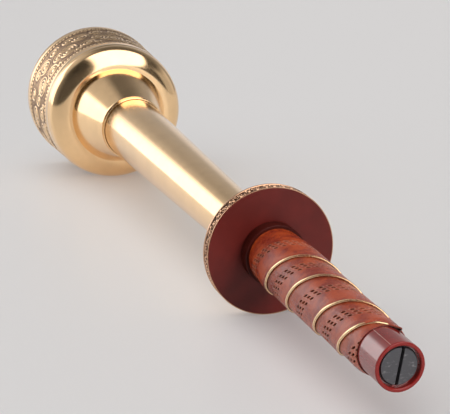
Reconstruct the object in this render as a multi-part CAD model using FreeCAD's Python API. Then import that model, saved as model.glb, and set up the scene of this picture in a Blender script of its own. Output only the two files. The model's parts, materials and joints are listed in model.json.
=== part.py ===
import FreeCAD, Part
import math
import os

# Ceremonial hand torch, lying on a level surface on its guard and on the rim of its bowl.
#
# Every piece is drawn upright about its own Z axis, which is the torch's axis: station 0 is the
# butt of the handle and stations rise towards the mouth of the bowl. place() then lays a piece
# down. Row frame: +X from butt to bowl, +Z up, origin in the middle of the footprint.
# All sizes are in millimetres.

# --- Driving dimensions ---------------------------------------------------------------------
TORCH_LENGTH = 505.0

# Handle. The bare tail is straight; under the leather the core widens, as (station, radius)
TAIL_RADIUS = 10.1
TAIL_END = 16.9
LEATHER_START = 17.2
GRIP_END = 138.0
GRIP_PROFILE = [(60.0, 11.0), (100.0, 12.3), (120.0, 12.8), (GRIP_END, 12.3)]
LEATHER_THICKNESS = 1.2
LEATHER_SKIVED = 0.8
HANDLE_BORE = 7.95
MOUTH_RADIUS = 8.6
MOUTH_DEPTH = 2.5
SOCKET_RADIUS = 11.0
SOCKET_START = 122.0

# Coin-slot plug in the butt
PLUG_RADIUS = 7.86
PLUG_FACE = 1.2
PLUG_END = 13.2
SLOT_WIDTH = 1.3
SLOT_DEPTH = 2.6
SLOT_ANGLE = 9.2
SEAL_START = 4.2
SEAL_WIDTH = 1.2
SEAL_INNER = 6.9

# Gas cartridge, spring and valve
SPRING_RADIUS = 5.6
SPRING_WIRE = 0.55
SPRING_TURNS = 5
CANISTER_START = 26.0
CANISTER_END = 112.0
CANISTER_RADIUS = 7.7
CANISTER_WALL = 0.5
STEM_RADIUS = 1.6
STEM_END = 121.5
VALVE_START = 119.6
VALVE_RADIUS = 7.6
VALVE_NOSE = 5.0
VALVE_END = 155.0
VALVE_SHELF = 140.0
SHELF_THICKNESS = 3.0

# Hand guard
GUARD_FACE = 144.8
GUARD_DISC_THICKNESS = 4.5
GUARD_BACK = 151.8
GUARD_RADIUS = 30.8
GUARD_DISC_RADIUS = 29.9
HUB_RADIUS = 14.7
SPIGOT_RADIUS = 10.7
SPIGOT_END = 166.0

# Column: a tapered tube
COLUMN_FOOT_RADIUS = 12.0
COLUMN_TOP_RADIUS = 18.7
COLUMN_TOP = 402.0
COLUMN_WALL = 1.1
FOOT_RING_END = 156.5

# Bowl
NECK_START = 397.0
NECK_LIP_END = 401.5
NECK_RADIUS = 19.4
SHOULDER_START = 436.0
SHOULDER_RADIUS = 30.0
SHOULDER_ROUND = 12.0
BAND_START = 455.0
BAND_END = 501.0
BAND_RADIUS_NEAR = 43.4
BAND_RADIUS_FAR = 45.8
BAND_THICKNESS = 1.2
SEAT_LEAD = 2.4
SHELL_WALL = 1.0
RIM_RADIUS = 45.8
RIM_ROUND = 0.6

# Burner
BRACKET_SCREW_CIRCLE = 26.2
PIPE_RADIUS = 2.0
PIPE_WALL = 0.5
PIPE_END = 394.0
JET_HOLDER_START = 388.0
JET_HOLDER_END = 398.0
MIXER_RADIUS = 7.0
MIXER_START = 398.0
AIR_HOLE_STATION = 408.0
AIR_HOLE_RADIUS = 2.2
DECK_STATION = 468.0
DECK_THICKNESS = 1.0
DECK_RADIUS = 41.6
POST_CIRCLE = 21.0
BURNER_START = 469.0
BURNER_TOP = 488.0
BURNER_RADIUS = 14.0

# --- Lying pose -----------------------------------------------------------------------------
# The lowest edges of the guard and of the rim ring both touch the surface.
TILT = math.atan((RIM_RADIUS - GUARD_RADIUS) / (BAND_END - GUARD_FACE))
LIFT = GUARD_RADIUS * math.cos(TILT) - GUARD_FACE * math.sin(TILT)
BUTT_ROUND = 0.6
X_LOW = -(TAIL_RADIUS - BUTT_ROUND) * math.sin(TILT)
X_HIGH = TORCH_LENGTH * math.cos(TILT) + (RIM_RADIUS - RIM_ROUND) * math.sin(TILT)
BUTT_X = -(X_LOW + X_HIGH) / 2.0

AXIS = FreeCAD.Vector(0, 0, 1)
ORIGIN = FreeCAD.Vector(0, 0, 0)


# --- Helpers --------------------------------------------------------------------------------
def place(shape):
    """Lay an upright piece down: its Z becomes the tilted torch axis, its X points up."""
    sine = math.sin(TILT)
    cosine = math.cos(TILT)
    lying = FreeCAD.Matrix(-sine, 0, cosine, BUTT_X,
                           0, -1, 0, 0,
                           cosine, 0, sine, LIFT,
                           0, 0, 0, 1)
    placed = shape.copy()
    placed.Placement = FreeCAD.Placement(lying).multiply(shape.Placement)
    return placed


def turned(*outline):
    """Solid of revolution. A point is (radius, station); an arc is a pair (middle, end)."""
    edges = []
    first = FreeCAD.Vector(outline[0][0], 0, outline[0][1])
    here = first
    for step in outline[1:]:
        if isinstance(step[0], tuple):
            middle = FreeCAD.Vector(step[0][0], 0, step[0][1])
            there = FreeCAD.Vector(step[1][0], 0, step[1][1])
            edges.append(Part.Arc(here, middle, there).toShape())
        else:
            there = FreeCAD.Vector(step[0], 0, step[1])
            edges.append(Part.makeLine(here, there))
        here = there
    edges.append(Part.makeLine(here, first))
    face = Part.Face(Part.Wire(edges))
    return face.revolve(ORIGIN, AXIS, 360)


def tube(outer, inner, start, end):
    """Straight tube between two stations."""
    return turned((inner, start), (outer, start), (outer, end), (inner, end))


def rod(radius, start, end, x=0.0, y=0.0):
    """Round bar parallel to the axis."""
    return Part.makeCylinder(radius, end - start, FreeCAD.Vector(x, y, start))


def around(count, circle, phase=0.0):
    """Evenly spaced places on a circle, as (x, y, angle in degrees)."""
    places = []
    for index in range(count):
        angle = phase + 360.0 * index / count
        x = circle * math.cos(math.radians(angle))
        y = circle * math.sin(math.radians(angle))
        places.append((x, y, angle))
    return places


def corner(inner, outer):
    """Middle point of a quarter arc that rounds a convex corner, from its two end points."""
    bow = 1.0 - math.sqrt(0.5)
    return (outer[0] - bow * (outer[0] - inner[0]), inner[1] + bow * (outer[1] - inner[1]))


def hexagon(across_flats, start, end, hole):
    """Hexagonal nut or body about the axis."""
    circle = across_flats / math.sqrt(3.0)
    points = [FreeCAD.Vector(x, y, start) for x, y, angle in around(6, circle)]
    wire = Part.makePolygon(points + [points[0]])
    block = Part.Face(wire).extrude(FreeCAD.Vector(0, 0, end - start))
    return block.cut(rod(hole, start - 1.0, end + 1.0))


def pan_head_screws(places, seat, shank, shank_length, head, head_height):
    """A group of like screws whose heads sit on station `seat` and point to the bowl's mouth."""
    screws = []
    for x, y, angle in places:
        body = rod(shank, seat - shank_length, seat, x, y)
        cap = rod(head, seat, seat + head_height, x, y)
        cap = cap.makeFillet(head_height * 0.35, [cap.Edges[0]])
        recess = Part.makeBox(2.2 * head, 0.2 * head + 0.3, head_height)
        recess.translate(FreeCAD.Vector(-1.1 * head, -0.1 * head - 0.15, 0))
        recess.rotate(ORIGIN, AXIS, angle)
        recess.translate(FreeCAD.Vector(x, y, seat + head_height * 0.6))
        screws.append(body.fuse(cap).removeSplitter().cut(recess))
    return Part.makeCompound(screws)


def line_radius(station, start, end):
    """Radius at a station on a straight generatrix between two (station, radius) ends."""
    share = (station - start[0]) / (end[0] - start[0])
    return start[1] + share * (end[1] - start[1])


# --- Handle ---------------------------------------------------------------------------------
def grip_tube():
    outer = [(radius, station) for station, radius in GRIP_PROFILE]
    inner_edge = (MOUTH_RADIUS + 0.3, 0.0)
    outer_edge = (TAIL_RADIUS - BUTT_ROUND, 0.0)
    rounded = (TAIL_RADIUS, BUTT_ROUND)
    return turned(inner_edge, outer_edge,
                  (corner(outer_edge, rounded), rounded),
                  (TAIL_RADIUS, TAIL_END),
                  *outer,
                  (SOCKET_RADIUS, GRIP_END),
                  (SOCKET_RADIUS, SOCKET_START),
                  (HANDLE_BORE, SOCKET_START),
                  (HANDLE_BORE, MOUTH_DEPTH),
                  (MOUTH_RADIUS, MOUTH_DEPTH),
                  (MOUTH_RADIUS, 0.3))


def leather_wrap():
    inner = [(radius, station) for station, radius in GRIP_PROFILE]
    outer = [(radius + LEATHER_THICKNESS, station) for radius, station in inner]
    core = line_radius(LEATHER_START, (TAIL_END, TAIL_RADIUS), GRIP_PROFILE[0])
    return turned((core, LEATHER_START), (core + LEATHER_SKIVED, LEATHER_START),
                  *outer, *reversed(inner))


def end_plug():
    body = turned((0, PLUG_FACE), (PLUG_RADIUS - 0.4, PLUG_FACE), (PLUG_RADIUS, PLUG_FACE + 0.4),
                  (PLUG_RADIUS, SEAL_START), (SEAL_INNER, SEAL_START),
                  (SEAL_INNER, SEAL_START + SEAL_WIDTH), (PLUG_RADIUS, SEAL_START + SEAL_WIDTH),
                  (PLUG_RADIUS, PLUG_END - 0.6), (PLUG_RADIUS - 0.6, PLUG_END), (0, PLUG_END))
    slot = Part.makeBox(4 * PLUG_RADIUS, SLOT_WIDTH, 2 * SLOT_DEPTH)
    slot.translate(FreeCAD.Vector(-2 * PLUG_RADIUS, -SLOT_WIDTH / 2, PLUG_FACE - SLOT_DEPTH))
    slot.rotate(ORIGIN, AXIS, SLOT_ANGLE)
    return body.cut(slot)


def plug_seal():
    return tube(PLUG_RADIUS, SEAL_INNER, SEAL_START, SEAL_START + SEAL_WIDTH)


def spring_pad():
    face = PLUG_END + 0.05
    return turned((0, face), (6.8, face), (6.8, face + 1.2), (4.4, face + 1.2),
                  (4.2, face + 3.0), (0, face + 3.0))


def canister_spring():
    first = PLUG_END + 0.05 + 1.2 + SPRING_WIRE + 0.05
    last = CANISTER_START - SPRING_WIRE - 0.05
    pitch = (last - first) / SPRING_TURNS
    helix = Part.makeHelix(pitch, last - first, SPRING_RADIUS)
    helix.translate(FreeCAD.Vector(0, 0, first))
    start = FreeCAD.Vector(SPRING_RADIUS, 0, first)
    heading = FreeCAD.Vector(0, 2 * math.pi * SPRING_RADIUS, pitch)
    section = Part.Wire(Part.makeCircle(SPRING_WIRE, start, heading))
    return Part.Wire(helix).makePipeShell([section], True, True)


def canister_body():
    """Drawn can with a dished base and a domed shoulder; its mouth takes the collar."""
    wall = CANISTER_WALL
    outer = CANISTER_RADIUS
    base = CANISTER_START
    dish = 3.0
    return turned((0, base + dish), (2.0, base + dish), (6.6, base),
                  ((7.4, base + 0.4), (outer, base + 1.4)),
                  (outer, CANISTER_END - 1.5),
                  ((7.0, CANISTER_END + 1.0), (5.0, CANISTER_END + 2.0)),
                  (5.0, CANISTER_END + 1.4),
                  ((6.6, CANISTER_END + 0.5), (outer - wall, CANISTER_END - 1.6)),
                  (outer - wall, base + 1.5), (outer - 2 * wall, base + 0.7),
                  (2.2, base + dish + wall), (0, base + dish + wall))


def canister_collar():
    low = CANISTER_END + 0.4
    return turned((STEM_RADIUS + 0.05, low), (4.9, low), (4.9, low + 1.7), (5.7, low + 1.7),
                  (5.7, low + 3.4), (4.0, low + 3.4), (4.0, low + 2.4), (2.8, low + 2.4),
                  (2.8, low + 5.2), (STEM_RADIUS + 0.05, low + 5.2))


def canister_stem():
    return tube(STEM_RADIUS, 0.5, CANISTER_END - 1.0, STEM_END)


def stem_seal():
    return tube(3.0, STEM_RADIUS + 0.02, VALVE_START + 0.1, VALVE_START + 1.4)


def valve_body():
    return turned((3.05, VALVE_START), (VALVE_RADIUS, VALVE_START), (VALVE_RADIUS, VALVE_SHELF),
                  (VALVE_NOSE, VALVE_SHELF), (VALVE_NOSE, VALVE_END), (1.2, VALVE_END),
                  (1.2, VALVE_START + 4.0), (STEM_RADIUS + 0.1, VALVE_START + 3.4),
                  (STEM_RADIUS + 0.1, VALVE_START + 1.4), (3.05, VALVE_START + 1.4))


def valve_pin():
    return turned((0, VALVE_START + 8.0), (0.4, VALVE_START + 8.0), (0.9, VALVE_START + 9.0),
                  (0.9, VALVE_START + 20.0), (0, VALVE_START + 20.0))


def valve_nut():
    seat = VALVE_SHELF + SHELF_THICKNESS
    return hexagon(14.0, seat, seat + 5.0, VALVE_NOSE + 0.05)


# --- Hand guard -----------------------------------------------------------------------------
def guard_hub():
    bore = VALVE_RADIUS + 0.2
    shelf_end = VALVE_SHELF + SHELF_THICKNESS
    return turned((bore, SOCKET_START + 0.3), (SOCKET_RADIUS, SOCKET_START + 0.3),
                  (SOCKET_RADIUS, GRIP_END), (HUB_RADIUS, GRIP_END), (HUB_RADIUS, GUARD_FACE),
                  (SPIGOT_RADIUS, GUARD_FACE), (SPIGOT_RADIUS, SPIGOT_END),
                  (8.4, SPIGOT_END), (8.4, shelf_end), (VALVE_NOSE + 0.05, shelf_end),
                  (VALVE_NOSE + 0.05, VALVE_SHELF), (bore, VALVE_SHELF))


def guard_disc():
    return tube(GUARD_DISC_RADIUS, SPIGOT_RADIUS, GUARD_FACE, GUARD_FACE + GUARD_DISC_THICKNESS)


def guard_back_plate():
    return tube(GUARD_DISC_RADIUS, SPIGOT_RADIUS, GUARD_FACE + GUARD_DISC_THICKNESS, GUARD_BACK)


def guard_rim():
    return tube(GUARD_RADIUS, GUARD_DISC_RADIUS, GUARD_FACE, GUARD_BACK)


# --- Column ---------------------------------------------------------------------------------
def column():
    return turned((COLUMN_FOOT_RADIUS - COLUMN_WALL, GUARD_BACK), (COLUMN_FOOT_RADIUS, GUARD_BACK),
                  (COLUMN_TOP_RADIUS, COLUMN_TOP), (COLUMN_TOP_RADIUS - COLUMN_WALL, COLUMN_TOP))


def column_foot():
    inner = COLUMN_FOOT_RADIUS + 0.15
    top = FOOT_RING_END
    return turned((inner, GUARD_BACK), (15.4, GUARD_BACK), (15.4, GUARD_BACK + 1.6),
                  ((14.4, top - 1.2), (inner + 0.9, top)), (inner, top))


# --- Gas pipe -------------------------------------------------------------------------------
def feed_pipe():
    return tube(PIPE_RADIUS, PIPE_RADIUS - PIPE_WALL, VALVE_END, PIPE_END)


def pipe_nuts():
    low = hexagon(8.0, VALVE_END, VALVE_END + 6.0, PIPE_RADIUS + 0.05)
    high = hexagon(8.0, JET_HOLDER_START - 6.0, JET_HOLDER_START, PIPE_RADIUS + 0.05)
    return Part.makeCompound([low, high])


def pipe_spacers():
    """Two lobed discs that keep the pipe central in the tapered column."""
    foot = (GUARD_BACK, COLUMN_FOOT_RADIUS - COLUMN_WALL)
    top = (COLUMN_TOP, COLUMN_TOP_RADIUS - COLUMN_WALL)
    discs = []
    for station in (232.0, 316.0):
        radius = line_radius(station, foot, top) - 0.15
        disc = tube(radius, PIPE_RADIUS + 0.05, station, station + 5.0)
        for x, y, angle in around(3, radius * 0.66):
            disc = disc.cut(rod(radius * 0.24, station - 1.0, station + 6.0, x, y))
        discs.append(disc)
    return Part.makeCompound(discs)


# --- Bowl -----------------------------------------------------------------------------------
def neck_flare():
    inner_low = COLUMN_TOP_RADIUS + 0.05
    wall = 1.1
    return turned((inner_low, NECK_START), (NECK_RADIUS, NECK_START), (NECK_RADIUS, NECK_LIP_END),
                  (SHOULDER_RADIUS, SHOULDER_START), (SHOULDER_RADIUS, SHOULDER_START + 1.0),
                  (SHOULDER_RADIUS - wall - 0.4, SHOULDER_START + 1.0),
                  (NECK_RADIUS - wall + 0.45, COLUMN_TOP + 0.3),
                  (inner_low, COLUMN_TOP))


def bowl_shell():
    """Inner flange, convex shoulder, bright lip, then the wall that the relief band sits on."""
    wall = SHELL_WALL
    base = SHOULDER_START + 1.0
    turn = SHOULDER_RADIUS + 1.0
    lip = turn + SHOULDER_ROUND
    high = base + SHOULDER_ROUND
    seat_near = BAND_RADIUS_NEAR - BAND_THICKNESS
    seat_far = BAND_RADIUS_FAR - BAND_THICKNESS
    outer_mid = (turn + SHOULDER_ROUND * math.sqrt(0.5), high - SHOULDER_ROUND * math.sqrt(0.5))
    inner_round = SHOULDER_ROUND - wall
    inner_mid = (turn + inner_round * math.sqrt(0.5), high - inner_round * math.sqrt(0.5))
    return turned((23.5, base), (turn, base), (outer_mid, (lip, high)), (BAND_RADIUS_NEAR, high + 1.0),
                  (BAND_RADIUS_NEAR, BAND_START), (seat_near, BAND_START), (seat_far, BAND_END),
                  (seat_far - wall, BAND_END), (seat_near - wall, BAND_START - SEAT_LEAD),
                  (lip - wall, high), (inner_mid, (turn, base + wall)), (23.5, base + wall))


def relief_band():
    near = BAND_RADIUS_NEAR
    far = BAND_RADIUS_FAR
    depth = BAND_THICKNESS
    return turned((near - depth, BAND_START), (near, BAND_START), (far, BAND_END),
                  (far - depth, BAND_END))


def rim_ring():
    inner = BAND_RADIUS_FAR - BAND_THICKNESS - SHELL_WALL
    low = TORCH_LENGTH - RIM_ROUND
    far_inner = (inner + RIM_ROUND, TORCH_LENGTH)
    far_outer = (RIM_RADIUS - RIM_ROUND, TORCH_LENGTH)
    outer_mid = corner((far_outer[0], TORCH_LENGTH), (RIM_RADIUS, low))
    inner_mid = corner((far_inner[0], TORCH_LENGTH), (inner, low))
    return turned((inner, BAND_END), (RIM_RADIUS, BAND_END), (RIM_RADIUS, low),
                  (outer_mid, far_outer), far_inner, (inner_mid, (inner, low)))


# --- Burner ---------------------------------------------------------------------------------
def burner_bracket():
    seat = SHOULDER_START + 1.0 + SHELL_WALL
    plate = tube(29.0, MIXER_RADIUS + 0.05, seat, seat + 1.5)
    for x, y, angle in around(4, 16.5, 45.0):
        plate = plate.cut(rod(4.0, seat - 1.0, seat + 3.0, x, y))
    for x, y, angle in around(4, BRACKET_SCREW_CIRCLE):
        plate = plate.cut(rod(1.3, seat - 1.0, seat + 3.0, x, y))
    for x, y, angle in around(3, POST_CIRCLE, 30.0):
        plate = plate.cut(rod(1.3, seat - 1.0, seat + 3.0, x, y))
    return plate


def bracket_screws():
    seat = SHOULDER_START + 1.0 + SHELL_WALL + 1.5
    return pan_head_screws(around(4, BRACKET_SCREW_CIRCLE), seat, 1.25, 1.5, 2.4, 1.6)


def jet_holder():
    block = hexagon(14.0, JET_HOLDER_START, JET_HOLDER_END, 1.0)
    block = block.cut(rod(PIPE_RADIUS + 0.05, JET_HOLDER_START - 1.0, PIPE_END))
    return block.cut(rod(1.85, JET_HOLDER_END - 3.0, JET_HOLDER_END + 1.0))


def jet():
    low = JET_HOLDER_END - 3.0
    return turned((0.9, low), (1.85, low), (1.85, JET_HOLDER_END), (2.6, JET_HOLDER_END),
                  (2.6, JET_HOLDER_END + 2.5), (1.2, JET_HOLDER_END + 5.0),
                  (0.25, JET_HOLDER_END + 5.0), (0.25, JET_HOLDER_END + 4.0), (0.9, low + 4.0))


def mixing_tube():
    wall_tube = tube(MIXER_RADIUS, MIXER_RADIUS - 0.8, MIXER_START, BURNER_START + 2.0)
    outside = FreeCAD.Vector(-2 * MIXER_RADIUS, 0, AIR_HOLE_STATION)
    for angle in (0.0, 90.0):
        drilled = Part.makeCylinder(AIR_HOLE_RADIUS, 4 * MIXER_RADIUS, outside, FreeCAD.Vector(1, 0, 0))
        drilled.rotate(ORIGIN, AXIS, angle)
        wall_tube = wall_tube.cut(drilled)
    return wall_tube


def deck_plate():
    """Shallow pierced deck with a turned-up edge that stops just short of the bowl's wall."""
    low = DECK_STATION
    top = DECK_STATION + DECK_THICKNESS
    plate = turned((BURNER_RADIUS + 1.0, low), (DECK_RADIUS - 2.5, low), (DECK_RADIUS, low + 2.5),
                   (DECK_RADIUS - 0.7, low + 3.2), (DECK_RADIUS - 3.0, top), (BURNER_RADIUS + 1.0, top))
    holes = []
    for count, circle, phase in ((24, 27.0, 0.0), (32, 34.0, 5.0)):
        for x, y, angle in around(count, circle, phase):
            holes.append(rod(1.4, low - 1.0, top + 1.0, x, y))
    for x, y, angle in around(3, POST_CIRCLE, 30.0):
        holes.append(rod(1.3, low - 1.0, top + 1.0, x, y))
    return plate.cut(Part.makeCompound(holes))


def deck_posts():
    low = SHOULDER_START + 1.0 + SHELL_WALL + 1.5
    posts = []
    for x, y, angle in around(3, POST_CIRCLE, 30.0):
        foot = rod(1.25, low - 1.5, low, x, y)
        shaft = rod(2.2, low, DECK_STATION, x, y)
        tip = rod(1.25, DECK_STATION, DECK_STATION + DECK_THICKNESS, x, y)
        posts.append(foot.fuse(shaft).fuse(tip).removeSplitter())
    return Part.makeCompound(posts)


def deck_nuts():
    top = DECK_STATION + DECK_THICKNESS
    nuts = []
    for x, y, angle in around(3, POST_CIRCLE, 30.0):
        nut = hexagon(5.0, top, top + 2.2, 0.7)
        nut.translate(FreeCAD.Vector(x, y, 0))
        nuts.append(nut)
    return Part.makeCompound(nuts)


def burner_head():
    """Slotted crown on the mixing tube, open at the top for the gauze."""
    low = BURNER_START
    outer = BURNER_RADIUS
    crown = turned((MIXER_RADIUS + 0.05, low), (11.0, low), (outer, low + 5.0), (outer, BURNER_TOP),
                   (outer - 1.5, BURNER_TOP), (outer - 1.5, low + 6.0), (MIXER_RADIUS - 0.8, low + 3.5),
                   (MIXER_RADIUS - 0.8, low + 2.0), (MIXER_RADIUS + 0.05, low + 2.0))
    slots = []
    for x, y, angle in around(16, outer, 11.25):
        slot = Part.makeBox(4.0, 1.2, 8.0)
        slot.translate(FreeCAD.Vector(outer - 2.5, -0.6, low + 7.5))
        slot.rotate(ORIGIN, AXIS, angle)
        slots.append(slot)
    return crown.cut(Part.makeCompound(slots))


def flame_gauze():
    disc = rod(BURNER_RADIUS - 1.55, BURNER_TOP - 2.2, BURNER_TOP - 1.4)
    holes = []
    for ring in range(1, 5):
        for x, y, angle in around(6 * ring, 2.4 * ring):
            holes.append(rod(0.7, BURNER_TOP - 3.0, BURNER_TOP, x, y))
    return disc.cut(Part.makeCompound(holes))


def gauze_ring():
    return tube(BURNER_RADIUS - 1.55, BURNER_RADIUS - 3.2, BURNER_TOP - 1.4, BURNER_TOP - 0.2)


# --- Write one STEP per piece ---------------------------------------------------------------
PIECES = [grip_tube, leather_wrap, end_plug, plug_seal, spring_pad, canister_spring,
          canister_body, canister_collar, canister_stem, stem_seal, valve_body, valve_pin,
          valve_nut, guard_hub, guard_disc, guard_back_plate, guard_rim, column, column_foot,
          feed_pipe, pipe_nuts, pipe_spacers, neck_flare, bowl_shell, relief_band, rim_ring,
          burner_bracket, bracket_screws, jet_holder, jet, mixing_tube, deck_plate, deck_posts,
          deck_nuts, burner_head, flame_gauze, gauze_ring]

os.makedirs("parts", exist_ok=True)
for piece in PIECES:
    solid = place(piece())
    solid.exportStep("parts/" + piece.__name__ + ".step")
    print(piece.__name__, len(solid.Solids), solid.isValid(), round(solid.Volume, 1))
print("tilt", round(math.degrees(TILT), 4), "butt x", round(BUTT_X, 3), "lift", round(LIFT, 3))
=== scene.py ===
import json
import math
import random

import bmesh
import bpy
import numpy as np
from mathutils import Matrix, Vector

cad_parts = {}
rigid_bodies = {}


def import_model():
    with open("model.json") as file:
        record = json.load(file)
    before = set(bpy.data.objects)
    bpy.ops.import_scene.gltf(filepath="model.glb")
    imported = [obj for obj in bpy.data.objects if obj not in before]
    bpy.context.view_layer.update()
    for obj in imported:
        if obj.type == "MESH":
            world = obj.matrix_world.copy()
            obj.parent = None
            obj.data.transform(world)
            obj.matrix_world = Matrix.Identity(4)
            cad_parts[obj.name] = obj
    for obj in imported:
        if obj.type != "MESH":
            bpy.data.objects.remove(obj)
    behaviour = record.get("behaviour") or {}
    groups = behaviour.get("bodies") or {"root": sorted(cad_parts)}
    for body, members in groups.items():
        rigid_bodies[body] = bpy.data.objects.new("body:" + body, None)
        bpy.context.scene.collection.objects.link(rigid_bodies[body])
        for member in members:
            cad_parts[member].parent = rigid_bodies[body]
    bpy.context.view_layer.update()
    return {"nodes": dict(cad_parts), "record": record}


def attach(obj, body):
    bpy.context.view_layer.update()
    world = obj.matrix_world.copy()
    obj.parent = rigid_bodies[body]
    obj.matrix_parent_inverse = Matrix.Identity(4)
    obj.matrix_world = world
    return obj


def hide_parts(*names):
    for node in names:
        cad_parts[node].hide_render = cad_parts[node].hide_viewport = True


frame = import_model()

# The looks of a ceremonial hand torch that lies on its hand guard and on the rim of its bowl.
#
# Pieces are drawn in the torch's own frame, in millimetres: station 0 is the butt of the handle
# and stations rise along the axis to the mouth of the bowl. Angles run about the axis, from the
# upper side towards the row's -Y. to_row() lays the points down in the row frame, in metres.

RECORD = frame["record"]
MM = 0.001
FULL_TURN = 2 * math.pi

# --- The torch's own frame, from the pin mount on its tail ----------------------------------
TAIL_ROUND = 0.6
SPIGOT = next(mount for mount in RECORD["mounts"] if mount["name"] == "tail_spigot")
SPIGOT_STATION = TAIL_ROUND + SPIGOT["dims"]["length_mm"] / 2
AXIS = -Vector(SPIGOT["axis"]).normalized()
UP = (Vector((0, 0, 1)) - AXIS * AXIS.z).normalized()
SIDE = AXIS.cross(UP)
BUTT = Vector(SPIGOT["pos_m"]) - AXIS * SPIGOT_STATION * MM
TORCH_AXES = np.array((UP, SIDE, AXIS))

BODY_OF = {node: body for body, nodes in RECORD["behaviour"]["bodies"].items() for node in nodes}
SLOT_OF = {part["node"]: part["material_slot"] for part in RECORD["subparts"]}


def to_row(points):
    """Torch points in mm, as an array [..., (up, side, station)], to row points in metres."""
    return np.asarray(points, float) @ TORCH_AXES * MM + np.array(BUTT)


def polar(angles, radii, stations):
    """Torch points from angles in radians, radii and stations in mm."""
    angles, radii, stations = np.broadcast_arrays(angles, radii, stations)
    return np.stack((radii * np.cos(angles), radii * np.sin(angles), stations), -1)


def span(node):
    """First and last station, smallest and largest radius of a CAD node, in mm."""
    mesh = frame["nodes"][node].data
    points = np.array([vertex.co for vertex in mesh.vertices])
    local = (points - np.array(BUTT)) @ TORCH_AXES.T / MM
    radii = np.hypot(local[:, 0], local[:, 1])
    return local[:, 2].min(), local[:, 2].max(), radii.min(), radii.max()


# --- Mesh helpers ---------------------------------------------------------------------------
def skin(name, grid, closed_path=True, values=None, sharp=40):
    """Closed mesh over torch points [path, section]. Sections are loops; an open path is capped."""
    steps, loop = grid.shape[:2]
    index = np.arange(steps * loop).reshape(steps, loop)
    here = index if closed_path else index[:-1]
    there = np.roll(index, -1, 0) if closed_path else index[1:]
    quads = np.stack((here, np.roll(here, -1, 1), np.roll(there, -1, 1), there), -1).reshape(-1, 4)
    faces = quads.tolist()
    if not closed_path:
        faces += [index[0].tolist(), index[-1][::-1].tolist()]
    mesh = bpy.data.meshes.new(name)
    mesh.from_pydata(to_row(grid).reshape(-1, 3).tolist(), [], faces)
    for key, field in (values or {}).items():
        attribute = mesh.attributes.new(key, "FLOAT", "POINT")
        attribute.data.foreach_set("value", np.asarray(field, np.float32).ravel())
    clean = bmesh.new()
    clean.from_mesh(mesh)
    bmesh.ops.remove_doubles(clean, verts=clean.verts, dist=1e-7)
    bmesh.ops.dissolve_degenerate(clean, edges=clean.edges, dist=1e-7)
    bmesh.ops.recalc_face_normals(clean, faces=clean.faces)
    clean.to_mesh(mesh)
    clean.free()
    mesh.shade_smooth()
    mesh.set_sharp_from_angle(angle=math.radians(sharp))
    piece = bpy.data.objects.new(name, mesh)
    bpy.context.scene.collection.objects.link(piece)
    return piece


# A corner turns by at least this much to be rounded, and takes at most this share of each side.
LEAST_TURN = math.radians(9)
LONGEST_CUT = 0.35


def rounded(outline, soft=0.15):
    """Rounds an outline's corners. Points are (station, radius) or (station, radius, soft)."""
    points = [Vector(point[:2]) for point in outline]
    result = []
    for number, point in enumerate(points):
        back = points[number - 1] - point
        ahead = points[(number + 1) % len(points)] - point
        turn = math.pi - back.angle(ahead)
        wanted = outline[number][2] if len(outline[number]) > 2 else soft
        cut = min(wanted, LONGEST_CUT * back.length, LONGEST_CUT * ahead.length)
        if turn < LEAST_TURN or point.y < 1e-6:
            result.append(point)
            continue
        start, end = point + back.normalized() * cut, point + ahead.normalized() * cut
        result.append(start + back.normalized() * cut * 0.3)
        for share in (0, 0.2, 0.4, 0.6, 0.8, 1):
            near, middle, far = (1 - share) ** 2, 2 * share * (1 - share), share ** 2
            result.append(start * near + point * middle + end * far)
        result.append(end + ahead.normalized() * cut * 0.3)
    return np.array(result)


def lathe(name, outline, soft=0.15, segments=256):
    """Solid of revolution with rounded corners."""
    ring = rounded(outline, soft)
    angles = np.linspace(0, FULL_TURN, segments, endpoint=False)[:, None]
    return skin(name, polar(angles, ring[None, :, 1], ring[None, :, 0]))


def arc(centre, radius, first, last, steps=16):
    """Points of a round stretch, as (station, radius, 0). Angles in degrees, 0 along the stations."""
    swept = np.radians(np.linspace(first, last, steps + 1))
    return [(centre[0] + radius * math.cos(a), centre[1] + radius * math.sin(a), 0) for a in swept]


def smooth(value, low, high):
    """Smoothstep from 0 at low to 1 at high; also falls if high is under low."""
    share = np.clip((value - low) / (high - low), 0, 1)
    return share * share * (3 - 2 * share)


def stand_for(piece, node, material=None):
    """The piece is shown in place of a CAD node, on its body, with its slot's material."""
    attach(piece, BODY_OF[node])
    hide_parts(node)
    dress(piece, SLOT_OF[node], material)
    return piece


def dress(piece, slot, material=None):
    """Gives the piece the slot's material, or its own."""
    piece.data.materials.clear()
    piece.data.materials.append(material or MATERIALS[slot])


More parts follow.
